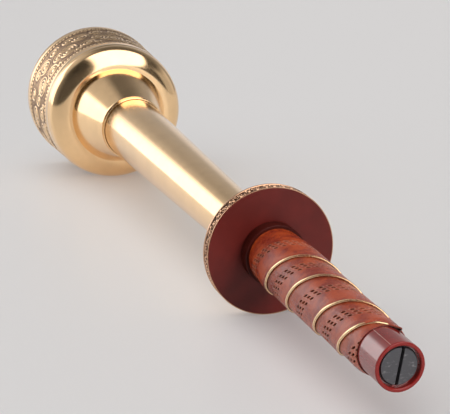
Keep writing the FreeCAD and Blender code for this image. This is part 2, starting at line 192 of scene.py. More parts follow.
# --- Node materials -------------------------------------------------------------------------
class Paint:
    """A Principled material and short ways to add nodes to it."""

    def __init__(self, name, **constants):
        self.material = bpy.data.materials.new(name)
        self.material.use_nodes = True
        self.tree = self.material.node_tree
        self.shader = self.tree.nodes["Principled BSDF"]
        for socket, value in constants.items():
            self.shader.inputs[socket.replace("_", " ")].default_value = value

    def add(self, kind, inputs=(), **settings):
        node = self.tree.nodes.new(kind)
        for key, value in settings.items():
            setattr(node, key, value)
        for key, value in dict(inputs).items():
            if isinstance(value, bpy.types.NodeSocket):
                self.tree.links.new(value, node.inputs[key])
            else:
                node.inputs[key].default_value = value
        return node

    def math(self, operation, first, second=0.0, third=0.0):
        inputs = {0: first, 1: second, 2: third}
        return self.add("ShaderNodeMath", inputs, operation=operation).outputs[0]

    def vector(self, operation, first, second):
        node = self.add("ShaderNodeVectorMath", {0: first, 1: second}, operation=operation)
        return node.outputs["Value" if operation == "DOT_PRODUCT" else "Vector"]

    def torch_point(self):
        """Place on the torch in mm, as (up, side, station)."""
        place = self.add("ShaderNodeTexCoord").outputs["Object"]
        from_butt = self.vector("SUBTRACT", place, BUTT)
        parts = [self.vector("DOT_PRODUCT", from_butt, axis / MM) for axis in (UP, SIDE, AXIS)]
        return self.add("ShaderNodeCombineXYZ", dict(enumerate(parts))).outputs[0], parts

    def turned_point(self):
        """(radius, 0, station) in mm: the same all round, as on work from a lathe."""
        _, parts = self.torch_point()
        squares = [self.math("MULTIPLY", part, part) for part in parts[:2]]
        radius = self.math("SQRT", self.math("ADD", *squares))
        return self.add("ShaderNodeCombineXYZ", {0: radius, 2: parts[2]}).outputs[0]

    def noise(self, point, scale, detail=3.0, roughness=0.5, stretch=(1, 1, 1)):
        stretched = self.vector("MULTIPLY", point, Vector(stretch))
        inputs = {"Vector": stretched, "Scale": scale, "Detail": detail, "Roughness": roughness}
        return self.add("ShaderNodeTexNoise", inputs).outputs[0]

    def remap(self, value, low, high, to_low, to_high, kind="SMOOTHSTEP"):
        inputs = {0: value, 1: low, 2: high, 3: to_low, 4: to_high}
        return self.add("ShaderNodeMapRange", inputs, interpolation_type=kind).outputs[0]

    def mix(self, share, first, second):
        node = self.add("ShaderNodeMix", data_type="RGBA")
        for socket, value in ((0, share), (6, first), (7, second)):
            if isinstance(value, bpy.types.NodeSocket):
                self.tree.links.new(value, node.inputs[socket])
            else:
                node.inputs[socket].default_value = value
        return node.outputs[2]

    def value(self, name):
        """A value that the piece stores at its points."""
        return self.add("ShaderNodeAttribute", attribute_name=name).outputs["Fac"]

    def bump(self, height, distance, below=None):
        inputs = {"Height": height, "Distance": distance, "Strength": 1.0}
        if below:
            inputs["Normal"] = below
        return self.add("ShaderNodeBump", inputs).outputs[0]

    def wire(self, socket, output):
        self.tree.links.new(output, self.shader.inputs[socket])


def shade(colour, factor):
    """The colour made lighter or darker, as an opaque colour."""
    return tuple(channel * factor for channel in colour[:3]) + (1,)


def metal(name, colour, roughness, marks, tarnish=0.12, handling=0.25):
    """Turned metal: rings left by the lathe, faint wipe marks and uneven tarnish."""
    paint = Paint(name, Metallic=1.0)
    turned = paint.turned_point()
    point, _ = paint.torch_point()
    rings = paint.noise(turned, 5.0, 4, 0.6)
    clouds = paint.noise(point, 0.09, 4, 0.6)
    wipes = paint.noise(point, 0.9, 5, 0.65, (1, 1, 0.25))
    clouded = paint.remap(clouds, 0.35, 0.7, 0, 1)
    paint.wire("Base Color", paint.mix(clouded, shade(colour, 1), shade(colour, 1 - tarnish)))
    low, high = roughness * (1 - handling), roughness * (1 + handling)
    paint.wire("Roughness", paint.remap(wipes, 0.3, 0.7, low, high))
    fine = paint.bump(rings, marks)
    paint.wire("Normal", paint.bump(wipes, marks * 0.6, fine))
    return paint.material


def antique(name, crest, hollow):
    """Cast relief, by the piece's own relief value: bright crests, dark patina in the hollows."""
    paint = Paint(name, Metallic=1.0)
    point, _ = paint.torch_point()
    grain = paint.noise(point, 1.6, 5, 0.6)
    uneven = paint.math("MULTIPLY_ADD", grain, 0.5, -0.25)
    height = paint.math("ADD", paint.value("relief"), uneven)
    paint.wire("Base Color", paint.mix(paint.remap(height, 0.12, 0.62, 0, 1), hollow, crest))
    paint.wire("Roughness", paint.remap(height, 0.1, 0.8, 0.46, 0.2))
    paint.wire("Normal", paint.bump(grain, 0.00003))
    return paint.material


# The parting line along the top of the handle's bare tail, and the butt's end, painted a brighter red
# as painted light on the face turned to the lamps.
SEAM_ANGLE = math.radians(-23.5)
SEAM_END = 30.0
SEAM_HALF_WIDTH = (0.05, 0.16)
SEAM_STRENGTH = 0.7
SEAM_COLOUR = (0.55, 0.30, 0.24, 1)
BUTT_LIT_BAND = (0.45, 0.95)


def seam_share(paint, point, parts):
    """How much the parting line shows: only on the upper side of the tail."""
    across_seam = Vector((math.sin(SEAM_ANGLE), -math.cos(SEAM_ANGLE), 0))
    from_seam = paint.math("ABSOLUTE", paint.vector("DOT_PRODUCT", point, across_seam))
    on_tail = paint.math("MULTIPLY", paint.math("GREATER_THAN", parts[0], 0.0),
                         paint.math("LESS_THAN", parts[2], SEAM_END))
    line = paint.remap(from_seam, *SEAM_HALF_WIDTH, SEAM_STRENGTH, 0)
    return paint.math("MULTIPLY", line, on_tail)


def lacquer(name, colour, edge_painted_light_colour, roughness, coat, orange_peel, coat_ior=1.5):
    """Lacquered metal: orange peel, hairline scratches, a parting line, and at the butt's end a
    brighter red (painted light) under a thinner coat.
    """
    paint = Paint(name, Coat_IOR=coat_ior, Specular_IOR_Level=0.0)
    point, parts = paint.torch_point()
    broad = paint.noise(point, 0.12, 3)
    peel = paint.noise(point, 1.1, 2)
    scratches = paint.noise(point, 1.3, 6, 0.7, (1, 1, 0.12))
    uneven = paint.remap(broad, 0.3, 0.7, 0, 1)
    plain = paint.mix(uneven, shade(colour, 0.86), shade(colour, 1.12))
    plain = paint.mix(seam_share(paint, point, parts), plain, SEAM_COLOUR)
    # Painted light: the butt's end, which faces the lamps, is painted a brighter red, and its coat is
    # thinner.
    painted_light_at_edge = paint.remap(parts[2], *BUTT_LIT_BAND, 1, 0)
    paint.wire("Base Color", paint.mix(painted_light_at_edge, plain, edge_painted_light_colour))
    paint.wire("Coat Weight", paint.remap(painted_light_at_edge, 0, 1, coat, 0.25 * coat))
    low, high = roughness * 0.85, roughness * 1.3
    paint.wire("Coat Roughness", paint.remap(scratches, 0.35, 0.75, low, high))
    paint.wire("Coat Normal", paint.bump(peel, orange_peel))
    paint.wire("Normal", paint.bump(peel, orange_peel))
    return paint.material


def leather(name, colour, worn, rim_and_glint_colour, dark):
    """Waxed leather: pores, creases, rubbed patches, lighter rims round the holes (bare leather,
    brightened as a painted highlight), and painted shade in the holes, near the next strip's edge and
    down the strips' cut walls to the tube.
    """
    paint = Paint(name, Specular_IOR_Level=0.0, Coat_IOR=1.9)
    paint.wire("Coat Weight", paint.remap(paint.value("pit"), 0, 1, 0.75, 0))
    point, _ = paint.torch_point()
    patches = paint.noise(point, 0.11, 4, 0.6)
    mottle = paint.noise(point, 0.8, 5, 0.65)
    creases = paint.noise(point, 1.4, 4, 0.6, (1, 1, 0.45))
    cells = {"Vector": point, "Scale": 2.6, "Randomness": 1.0}
    voronoi = paint.add("ShaderNodeTexVoronoi", cells, feature="DISTANCE_TO_EDGE")
    pores = voronoi.outputs["Distance"]
    base = paint.mix(paint.remap(patches, 0.36, 0.62, 0, 1), colour, worn)
    base = paint.mix(paint.remap(mottle, 0.3, 0.75, 0, 0.22), base, shade(colour, 0.5))
    # Lighter rims round the holes: partly bare leather, partly a painted highlight on their edges.
    base = paint.mix(paint.math("MULTIPLY", paint.value("burr"), 0.55), base, rim_and_glint_colour)
    # Painted shade: the holes, and the 'cut' value (near the next strip's edge and down the cut
    # walls), darken towards the shade colour.
    painted_shade_share = paint.math("MAXIMUM", paint.value("cut"), paint.value("pit"))
    paint.wire("Base Color", paint.mix(painted_shade_share, base, dark))
    paint.wire("Coat Roughness", paint.remap(mottle, 0.25, 0.75, 0.19, 0.26))
    fine = paint.bump(paint.remap(pores, 0.0, 0.16, 0, 1), 0.000025)
    grained = paint.bump(creases, 0.00007, fine)
    paint.wire("Normal", grained)
    paint.wire("Coat Normal", grained)
    return paint.material


def plastic(name, colour, worn, roughness, speckle=0.6):
    """Moulded plastic or rubber with a fine grain, tool rings and pale scratches."""
    paint = Paint(name, Specular_IOR_Level=0.5)
    point, _ = paint.torch_point()
    turned = paint.turned_point()
    scratch = paint.noise(point, 0.8, 6, 0.75, (1, 0.35, 1))
    grain = paint.noise(point, 3.5, 3)
    rings = paint.noise(turned, 3.0, 2)
    marks = paint.remap(scratch, speckle, speckle + 0.14, 0, 1)
    paint.wire("Base Color", paint.mix(marks, colour, worn))
    paint.wire("Roughness", paint.remap(grain, 0.3, 0.7, roughness * 0.85, roughness * 1.15))
    paint.wire("Normal", paint.bump(rings, 0.00001, paint.bump(grain, 0.00002)))
    return paint.material


MATERIALS = {
    # The second colour of each lacquer is the brighter red painted at the butt's end as painted
    # light.
    "lacquered_maroon": lacquer("lacquered_maroon", (0.205, 0.013, 0.010), (0.24, 0.013, 0.010, 1),
                                0.13, 0.82, 0.000003, 2.3),
    "satin_maroon": lacquer("satin_maroon", (0.112, 0.012, 0.009), (0.12, 0.012, 0.009, 1),
                            0.40, 0.6, 0.000005, 1.5),
    # Leather colours: base, rubbed, the hole rims with their painted highlight, and the painted
    # shade.
    "leather": leather("leather", (0.235, 0.023, 0.008, 1), (0.43, 0.062, 0.013, 1),
                       (0.50, 0.24, 0.13, 1), (0.016, 0.007, 0.005, 1)),
    "black_plastic": plastic("black_plastic", (0.062, 0.061, 0.067, 1), (0.2, 0.195, 0.2, 1),
                             0.45, 0.54),
    "seal_rubber": plastic("seal_rubber", (0.018, 0.018, 0.019, 1), (0.05, 0.05, 0.05, 1), 0.7, 0.8),
    "polished_brass": metal("polished_brass", (0.945, 0.65, 0.36, 1), 0.13, 0.0000015, 0.06),
    "antique_brass": antique("antique_brass", (0.94, 0.66, 0.39, 1), (0.22, 0.125, 0.07, 1)),
    "turned_brass": metal("turned_brass", (0.80, 0.58, 0.30, 1), 0.28, 0.000006, 0.2),
    "steel": metal("steel", (0.60, 0.58, 0.56, 1), 0.30, 0.000006, 0.2),
    "copper_pipe": metal("copper_pipe", (0.88, 0.46, 0.32, 1), 0.28, 0.000005, 0.25),
    "aluminium": metal("aluminium", (0.85, 0.85, 0.87, 1), 0.26, 0.000005, 0.08),
}
GOLD_EDGE = metal("gold_edge", (1.0, 0.75, 0.43, 1), 0.24, 0.000002, 0.05)
GUARD_PATINA = antique("guard_patina", (0.58, 0.34, 0.21, 1), (0.10, 0.045, 0.026, 1))
# A much darker copy of the handle's lacquer for the hub: painted shade, for the shadow that lies
# round the hub in front of the guard.
HUB_SHADED_LACQUER = lacquer("hub_lacquer_shaded", (0.045, 0.006, 0.004), (0.05, 0.006, 0.004, 1),
                      0.4, 0.3, 0.000003)


# --- Handle ---------------------------------------------------------------------------------
TAIL_RADIUS = SPIGOT["dims"]["r_mm"]
TAIL_END = TAIL_ROUND + SPIGOT["dims"]["length_mm"]
LEATHER_START, LEATHER_END = span("leather_wrap")[:2]
# (station, radius) along the swelling of the handle's tube, under the leather.
GRIP = [(TAIL_END, TAIL_RADIUS), (60.0, 11.0), (100.0, 12.3), (120.0, 12.8), (LEATHER_END, 12.3)]
MOUTH_RADIUS = 8.6
MOUTH_DEPTH = 2.5
HANDLE_BORE = 7.95
SOCKET_RADIUS = 11.0
SOCKET_START = 122.0
SEAM_RIDGE = 0.06
SEAM_SPREAD = math.radians(0.45)


def core_radius(station):
    """Outer radius of the bare handle tube."""
    return np.interp(station, *zip(*GRIP))


def handle_tube():
    """Butt edge, bare tail with its parting line, and the taper under the leather."""
    ring = rounded([(MOUTH_DEPTH, MOUTH_RADIUS), (0.3, MOUTH_RADIUS), (0, MOUTH_RADIUS + 0.3),
                    (0, TAIL_RADIUS, TAIL_ROUND), *GRIP, (LEATHER_END, SOCKET_RADIUS),
                    (SOCKET_START, SOCKET_RADIUS), (SOCKET_START, HANDLE_BORE),
                    (MOUTH_DEPTH, HANDLE_BORE)])
    angles = np.linspace(0, FULL_TURN, 400, endpoint=False)
    near_seam = SEAM_ANGLE + np.radians(np.linspace(-1, 1, 9))
    angles = np.sort(np.append(angles, near_seam % FULL_TURN))[:, None]
    from_seam = (angles - SEAM_ANGLE + math.pi) % FULL_TURN - math.pi
    stations, radii = ring[None, :, 0], ring[None, :, 1]
    on_tail = (radii > TAIL_RADIUS - 0.1) & (stations > 0.5) & (stations < TAIL_END + 1)
    ridge = SEAM_RIDGE * np.exp(-(from_seam / SEAM_SPREAD) ** 2) * on_tail
    stand_for(skin("handle_tube", polar(angles, radii + ridge, stations)), "grip_tube")


# --- Leather: two strips wound side by side ---------------------------------------------------
STRIP_THICKNESS = 0.8
STRIP_TUCK = 2.0
# Each strip's edge crosses this angle at these stations, and moves on by one lay per turn.
LINE_ANGLE = math.radians(-50)
FIRST_TURN = {"a": 50.05, "b": 25.3}
LAY = 53.25
LAY_GROWTH = 1.25
# The winding was pulled towards this side, starts flatter and runs out towards the guard.
PULL = 1.2
PULL_ANGLE = math.radians(170)
RUN_IN = 12.0
RUN_OUT = 40.0
RUN_OUT_FROM = 1.2
# Rows of three slanted holes along the middle of each strip.
ROW_SPACING = 3.26
ROW_PLACE = 0.55
HOLE_SPACING = 2.5
HOLE_ROW = HOLE_SPACING * np.array((-1, 0, 1))
HOLE_SLANT = math.radians(0.78)
HOLE_HALF_LENGTH = 0.85
HOLE_HALF_WIDTH = 0.74
HOLE_DEPTH = 0.72
HOLE_MARGIN = 1.15
BURR_HEIGHT = 0.05
# A line pressed along each edge, and the swell that it leaves.
CREASE_PLACE = 3.2
CREASE_HALF = 0.18
CREASE_DEPTH = 0.1
SWELL_PLACE = 1.6
SWELL_HALF = 1.3
SWELL_HEIGHT = 0.12
# The gilded bead: its middle over the tube, its half width and half height, and how it tapers.
BEAD_HEIGHT = 0.42
BEAD_HALF = (0.6, 0.44)
BEAD_TAPER = 0.65
BEAD_WIDEST = math.radians(-60)
# Strip b's loose corner, past the end of the wrap.
CORNER_FROM, CORNER_PEAK, CORNER_TO = np.radians((10, 35, 40))
CORNER_REACH = 4.4
CORNER_CURL = 1.2
# Mesh lines in mm: along the winding for each row of holes, across the edge's margin, and across
# one hole. Between them, shares of the plain leather before the first hole and after the last.
ROW_LINES = np.array((-1.2, -1.03, -0.9, -0.75, -0.5, -0.2, 0.1, 0.4, 0.63, 0.82, 0.97, 1.15, 1.63))
EDGE_LINES = (0, 0.1, 0.3, 0.6, 1.0, 1.6, 2.3, 2.85, 3.02, 3.2, 3.38, 3.55, 4.2)
HOLE_LINES = (-1.05, -0.9, -0.76, -0.6, -0.32, 0, 0.32, 0.6, 0.76, 0.9, 1.05)
BEFORE_HOLES = np.array((0.25, 0.5, 0.75, 1))
AFTER_HOLES = np.array((0, 0.15, 0.35, 0.6, 0.85, 1))


def turns_at(angle):
    """Turns wound since the edge first crossed LINE_ANGLE."""
    return (LINE_ANGLE - angle) / FULL_TURN


def run_out(angle):
    """How far strip b has run out towards the guard at its far end."""
    return RUN_OUT * np.clip(turns_at(angle) - RUN_OUT_FROM, 0, 9) ** 2


def run_in(angle):
    """How much flatter strip b lies where it starts, up to its loose corner."""
    return RUN_IN * np.clip(-turns_at(angle), 0, 0.5)


def edge_station(strip, angle):
    """Station of a strip's outer edge. Angles keep falling along the winding."""
    turns = turns_at(angle)
    straight = FIRST_TURN[strip] + LAY * turns + LAY_GROWTH * turns ** 2
    pulled = PULL * np.cos(angle - PULL_ANGLE)
    return straight + pulled + (run_out(angle) + run_in(angle) if strip == "b" else 0)


def shown_width(strip, angle):
    """How much of a strip shows before the next strip lies over it."""
    if strip == "b":
        return edge_station("a", angle) - edge_station("b", angle)
    return edge_station("b", angle - FULL_TURN) - edge_station("a", angle)


def row_place(strip, angle):
    """Middle of a row of holes, from its strip's outer edge."""
    if strip == "b":
        return ROW_PLACE * (shown_width(strip, angle) + run_out(angle))
    return ROW_PLACE * (shown_width(strip, angle) - run_out(angle - FULL_TURN))


def corner_share(strip, angle):
    """1 at the tip of strip b's loose corner, 0 away from it."""
    rise = np.clip((angle - CORNER_FROM) / (CORNER_PEAK - CORNER_FROM), 0, 1)
    fall = np.clip((CORNER_TO - angle) / (CORNER_TO - CORNER_PEAK), 0, 1)
    return rise * fall if strip == "b" else 0 * rise


def strip_underside(strip, across, angle, station):
    """A strip lies on its neighbour's margin at its outer edge and on the tube at the other."""
    lifted = np.clip(1 - across / shown_width(strip, angle), 0, 1)
    lifted = lifted * (0.2 + 0.8 * smooth(station, LEATHER_START, LEATHER_START + 6))
    lifted = lifted * smooth(station, LEATHER_END, LEATHER_END - 20)
    from_tip = np.clip(station - LEATHER_START + 3, 0, 9)
    curl = CORNER_CURL * corner_share(strip, angle) * np.exp(-from_tip / 2.2)
    waves = 0.05 * np.sin(3 * angle + station / 9) + 0.04 * np.sin(7 * angle - station / 5)
    return core_radius(station) + STRIP_THICKNESS * lifted + curl + 0.05 + waves * lifted


def row_angles(strip, first, last):
    """Angles of the rows of holes, evenly spaced along the surface."""
    rows = [first]
    while rows[-1] > last:
        middle = edge_station(strip, rows[-1]) + row_place(strip, rows[-1])
        radius = core_radius(middle) + STRIP_THICKNESS
        rows.append(rows[-1] - ROW_SPACING / radius)
    return np.array(rows)


def strip_lines(strip, path):
    """Mesh lines across a strip from its outer edge, and the middle of its row of holes."""
    width = shown_width(strip, path)[:, None]
    centre = row_place(strip, path)[:, None]
    margin = EDGE_LINES[-1]
    first, last = (centre + side * (HOLE_SPACING + HOLE_MARGIN) for side in (-1, 1))
    near_edge = np.tile(EDGE_LINES, (len(path), 1))
    before = margin + (first - margin) * BEFORE_HOLES
    holes = centre + np.sort(np.add.outer(HOLE_ROW, HOLE_LINES).ravel())
    after = last + (width + STRIP_TUCK - last) * AFTER_HOLES
    return np.concatenate((near_edge, before, holes, after), 1), centre


def hole_marks(strip, across, along, angle):
    """How far each point lies in a hole, and how far on the burr round it."""
    offset = across - row_place(strip, angle)
    nearest = np.clip(np.round(offset / HOLE_SPACING), -1, 1) * HOLE_SPACING
    reach = np.hypot(along / HOLE_HALF_LENGTH, (offset - nearest) / HOLE_HALF_WIDTH)
    return smooth(reach, 1.12, 0.82), np.exp(-((reach - 1.26) / 0.14) ** 2)


def strip_height(across, width, from_end):
    """Thickness of a strip without its holes: swell, pressed line, thinned end and tucked side."""
    thinned = STRIP_THICKNESS * (0.7 + 0.3 * smooth(from_end, 0, 4))
    swell = SWELL_HEIGHT * np.exp(-((across - SWELL_PLACE) / SWELL_HALF) ** 2)
    crease = CREASE_DEPTH * np.exp(-((across - CREASE_PLACE) / CREASE_HALF) ** 2)
    tucked = 0.06 * smooth(across, width - 0.5, width)
    pared = 0.18 * np.exp(-np.clip(from_end, 0, 9) / 0.25)
    return thinned + swell - crease - tucked - pared


def leather_strip(strip, first, last):
    """One strip as a closed solid, with its rows of three holes and the line along its edge."""
    rows = row_angles(strip, first, last)
    per_row = -np.diff(rows, append=rows[-1] - 0.25)
    path = (rows[:, None] - ROW_LINES / ROW_SPACING * per_row[:, None]).ravel()
    along = np.tile(ROW_LINES, len(rows))[:, None]
    across, centre = strip_lines(strip, path)
    angle = path[:, None] - HOLE_SLANT * (across - centre)
    end = LEATHER_START - CORNER_REACH * corner_share(strip, angle)
    station = np.clip(edge_station(strip, angle) + across, end, LEATHER_END)
    across = station - edge_station(strip, angle)
    width = shown_width(strip, angle)
    pit, burr = hole_marks(strip, across, along, angle)
    under = strip_underside(strip, across, angle, station)
    height = strip_height(across, width, station - end) - HOLE_DEPTH * pit + BURR_HEIGHT * burr
    over, below = polar(angle, under + height, station), polar(angle, under, station)
    # Painted shade, carried by the 'cut' value: darker towards the next strip's overlapping edge on
    # top, and fully dark on the underside, so the cut walls darken down to the tube.
    shadow = 0.4 * smooth(across, width - 3, width)
    values = {"pit": (pit, 0 * pit), "burr": (burr, 0 * burr), "cut": (shadow, 0 * pit + 1)}
    values = {key: np.concatenate(both, 1) for key, both in values.items()}
    grid = np.concatenate((over, below[:, ::-1]), 1)
    return skin("leather_strip_" + strip, grid, False, values, 50)


def gold_edge(strip):
    """Gilded rounded edge of a strip: its cut face and a narrow margin on top."""
    angle = np.arange(math.radians(60), -2.1 * FULL_TURN, -math.radians(1.2))
    station = edge_station(strip, angle)
    inside = (station > LEATHER_START - 0.05) & (station < LEATHER_END - 0.4)
    angle, station = angle[inside], station[inside]
    round_the_bead = np.linspace(0, FULL_TURN, 24, endpoint=False)
    size = 1 + BEAD_TAPER * np.cos(angle[:, None] - BEAD_WIDEST)
    across = BEAD_HALF[0] * size * (0.8 - np.cos(round_the_bead))
    height = BEAD_HEIGHT + BEAD_HALF[1] * (0.7 + 0.3 * size) * np.sin(round_the_bead)
    under = strip_underside(strip, 0 * angle, angle, station)
    grid = polar(angle[:, None], under[:, None] + height, station[:, None] + across)
    return skin("gold_edge_" + strip, grid, False)


def leather_grip():
    """Both strips and their gilded edges stand for the CAD's plain sleeve."""
    ends = {"a": (math.radians(400), -1.75 * FULL_TURN),
            "b": (math.radians(250), -2.2 * FULL_TURN)}
    for strip, (first, last) in ends.items():
        stand_for(leather_strip(strip, first, last), "leather_wrap")
        edge = gold_edge(strip)
        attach(edge, BODY_OF["leather_wrap"])
        edge.data.materials.append(GOLD_EDGE)


# --- Butt plug --------------------------------------------------------------------------------
PLUG_FACE, PLUG_END, _, PLUG_RADIUS = span("end_plug")
SEAL_START, SEAL_END, SEAL_INNER, _ = span("plug_seal")
SLOT_WIDTH = 1.3
SLOT_DEPTH = 2.6
SLOT_OFFSET = 0.35
SLOT_ANGLE = math.radians(9.2)
PLUG_RELIEF = 0.4
THREAD_PITCH = 1.5
THREAD_DEPTH = 0.55
FACE_DEPTH = 1.6


def slot_cutter():
    """Prism across the plug's face, with chamfered upper edges."""
    half, chamfer, above = SLOT_WIDTH / 2, 0.12, 1.0
    side = [(half, -SLOT_DEPTH), (half, -chamfer), (half + chamfer, 0), (half + chamfer, above)]
    profile = side + [(-across, depth) for across, depth in reversed(side)]
    along = np.array((math.cos(SLOT_ANGLE), math.sin(SLOT_ANGLE), 0))
    over = np.array((-math.sin(SLOT_ANGLE), math.cos(SLOT_ANGLE), 0))
    section = [(across + SLOT_OFFSET) * over + np.array((0, 0, PLUG_FACE - depth))
               for across, depth in profile]
    grid = [[end * along + point for point in section] for end in (-2 * PLUG_RADIUS, 2 * PLUG_RADIUS)]
    return skin("slot_cutter", np.array(grid), False, sharp=10)


def plug():
    """Coin-slot plug: dished edge, seal groove and a real thread that shows when it is unscrewed."""
    thread_start, thread_end = SEAL_END + 0.6, PLUG_END - 0.5
    head = rounded([(PLUG_END, 0), (PLUG_FACE, 0), (PLUG_FACE, PLUG_RADIUS - PLUG_RELIEF, 0.2),
                    (PLUG_FACE + FACE_DEPTH, PLUG_RADIUS - PLUG_RELIEF),
                    (PLUG_FACE + FACE_DEPTH, PLUG_RADIUS),
                    (SEAL_START, PLUG_RADIUS), (SEAL_START, SEAL_INNER), (SEAL_END, SEAL_INNER),
                    (SEAL_END, PLUG_RADIUS)])[1:]
    flank = np.arange(thread_start, thread_end, THREAD_PITCH / 12)
    stations = np.concatenate((head[:, 0], flank, (PLUG_END, PLUG_END, PLUG_END)))
    radii = np.concatenate((head[:, 1], 0 * flank + PLUG_RADIUS, (PLUG_RADIUS - 0.7, 4.0, 0)))
    angles = np.linspace(0, FULL_TURN, 192, endpoint=False)[:, None]
    phase = FULL_TURN * stations / THREAD_PITCH + angles
    threaded = smooth(stations, thread_start, thread_start + 0.7) * (radii > PLUG_RADIUS - 0.1)
    groove = THREAD_DEPTH * smooth(np.cos(phase), -0.3, 0.9) * threaded * (stations < PLUG_END - 0.01)
    body = skin("coin_slot_plug", polar(angles, radii - groove, stations + 0 * angles))
    cutter = slot_cutter()
    carve = body.modifiers.new("slot", "BOOLEAN")
    carve.object, carve.operation, carve.solver = cutter, "DIFFERENCE", "EXACT"
    apply_modifiers(body)
    bpy.data.objects.remove(cutter)
    body.data.set_sharp_from_angle(angle=math.radians(35))
    stand_for(body, "end_plug")


def apply_modifiers(piece):
    """Keeps the evaluated mesh and drops the modifiers."""
    graph = bpy.context.evaluated_depsgraph_get()
    mesh = bpy.data.meshes.new_from_object(piece.evaluated_get(graph))
    piece.modifiers.clear()
    piece.data = mesh


# --- Hand guard -------------------------------------------------------------------------------
# The lacquer is carried over the rim's front face and stops just short of its edge.
RIM_EDGE = 0.4
RIM_STEP = 0.3
# The hub's bores: round the cartridge, through the wall that holds the valve, and past it.
HUB_BORE = 7.8
HUB_WALL_START, HUB_WALL_END = 140.0, 143.0
VALVE_HOLE = 5.05
HUB_FAR_BORE = 8.4


def guard():
    """Lacquered disc, polished plate behind it, and the hub that joins them to the handle."""
    front, disc_end, inner, disc_radius = span("guard_disc")
    back = span("guard_back_plate")[1]
    face_radius = span("guard_rim")[3] - RIM_EDGE
    step = front + RIM_STEP
    disc = lathe("guard_disc_lacquered", [(front, inner), (front, face_radius, 0.15),
                                          (step, face_radius), (step, disc_radius),
                                          (disc_end, disc_radius), (disc_end, inner)], segments=320)
    stand_for(disc, "guard_disc")
    plate = lathe("guard_back_polished", [(disc_end, inner), (disc_end, disc_radius),
                                          (back, disc_radius, 0.3), (back, inner)], segments=320)
    stand_for(plate, "guard_back_plate")
    hub_start, hub_end, _, hub_radius = span("guard_hub")
    hub = lathe("guard_hub_ring", [(hub_start, HUB_BORE), (hub_start, SOCKET_RADIUS),
                                   (LEATHER_END, SOCKET_RADIUS), (LEATHER_END, hub_radius, 0.5),
                                   (front, hub_radius, 0.3), (front, inner), (hub_end, inner, 0.4),
                                   (hub_end, HUB_FAR_BORE), (HUB_WALL_END, HUB_FAR_BORE),
                                   (HUB_WALL_END, VALVE_HOLE), (HUB_WALL_START, VALVE_HOLE),
                                   (HUB_WALL_START, HUB_BORE)])
    # The hub wears the darker lacquer as painted shade.
    stand_for(hub, "guard_hub", HUB_SHADED_LACQUER)


# --- Relief -------------------------------------------------------------------------------------
def scroll(x, y, centre, size, pitch, hand):
    """Height of one spiral curl, and each point's distance from its middle (1 at its edge)."""
    dx, dy = x - centre[0], y - centre[1]
    distance = np.hypot(dx, dy)
    winding = distance / pitch - hand * np.arctan2(dy, dx) / FULL_TURN
    ridge = (0.5 + 0.5 * np.cos(FULL_TURN * winding)) * smooth(distance, size, size * 0.86)
    return ridge + 0.9 * (distance < 0.45 * pitch), distance / size


def curled(x, y, curls, pitch, ground):
    """Curls laid over a ground; where two overlap, the nearer one shows."""
    height, nearest = ground, np.full(x.shape, 1.0)
    for centre, size, hand in curls:
        ridge, share = scroll(x, y, centre, size, pitch, hand)
        inside = share < nearest
        height = np.where(inside, ridge, height)
        nearest = np.where(inside, share, nearest)
    return np.clip(height, 0, 1)


def beads(x, y, middle, size, spacing):
    """A row of pearls."""
    from_middle = np.hypot((x + spacing / 2) % spacing - spacing / 2, y - middle)
    return np.sqrt(np.clip(1 - (from_middle / size) ** 2, 0, 1))


def between_edges(y, high, low_step, high_step):
    """1 in the middle of a band of this height, 0 near both of its edges."""
    return smooth(y, low_step, high_step) * smooth(y, high - low_step, high - high_step)


def relief_ring(name, node, count, stations, height_at, depth, crests):
    """A ring whose outside carries relief. Crests lie on the CAD's surface, hollows under it."""
    start, end, inner, _ = span(node)
    angles = np.linspace(0, FULL_TURN, count, endpoint=False)[:, None]
    near, far = crests
    crest = near + (far - near) * (stations - start) / (end - start)
    height = height_at(angles * (near + far) / 2, stations[None] - start)
    outside = crest - depth * (1 - height)
    wall = near - inner
    inside = np.broadcast_to((far - wall, near - wall), (count, 2))
    radii = np.concatenate((outside, inside), 1)
    places = np.concatenate((stations, stations[[-1, 0]]))[None]
    relief = np.concatenate((height, np.full((count, 2), 0.6)), 1)
    return skin(name, polar(angles, radii, places), True, {"relief": relief}, 60)


BAND_THICKNESS = 1.2
BAND_START, BAND_END, BAND_BORE, BAND_FAR = span("relief_band")
BAND_NEAR = BAND_BORE + BAND_THICKNESS
BAND_DEPTH = 0.42
BAND_REPEATS = 9
# Curls of one repeat: (share of the repeat, height on the band in mm), size in mm, hand.
BAND_CURLS = (((0.16, 17.0), 8.6, 1), ((0.55, 29.0), 7.2, -1), ((0.62, 12.6), 6.4, 1),
              ((0.92, 33.6), 5.2, 1), ((0.36, 9.4), 3.6, -1), ((0.30, 33.4), 5.6, -1),
              ((0.88, 20.6), 5.6, -1), ((0.80, 9.2), 3.2, -1))
BAND_PITCH = 2.3
CURL_WOBBLE = 0.8
RIPPLE_PITCH = 2.6
RIPPLE_SWING = 2.2
PEARL_INSET = 4.3
PEARL_SIZE = 1.25
PEARL_SPACING = 2.6


def band_curls(cell):
    """Centre, size and hand of every curl round the band, each a little off its place."""
    curls = []
    for number in range(-1, BAND_REPEATS + 1):
        for (share, level), size, hand in BAND_CURLS:
            wobble = random.Random(11 + (number % BAND_REPEATS) * 31 + round(share))
            along = (number + share) * cell + wobble.uniform(-CURL_WOBBLE, CURL_WOBBLE)
            centre = (along, level + wobble.uniform(-CURL_WOBBLE, CURL_WOBBLE))
            curls.append((centre, size * wobble.uniform(0.92, 1.06), hand))
    return curls


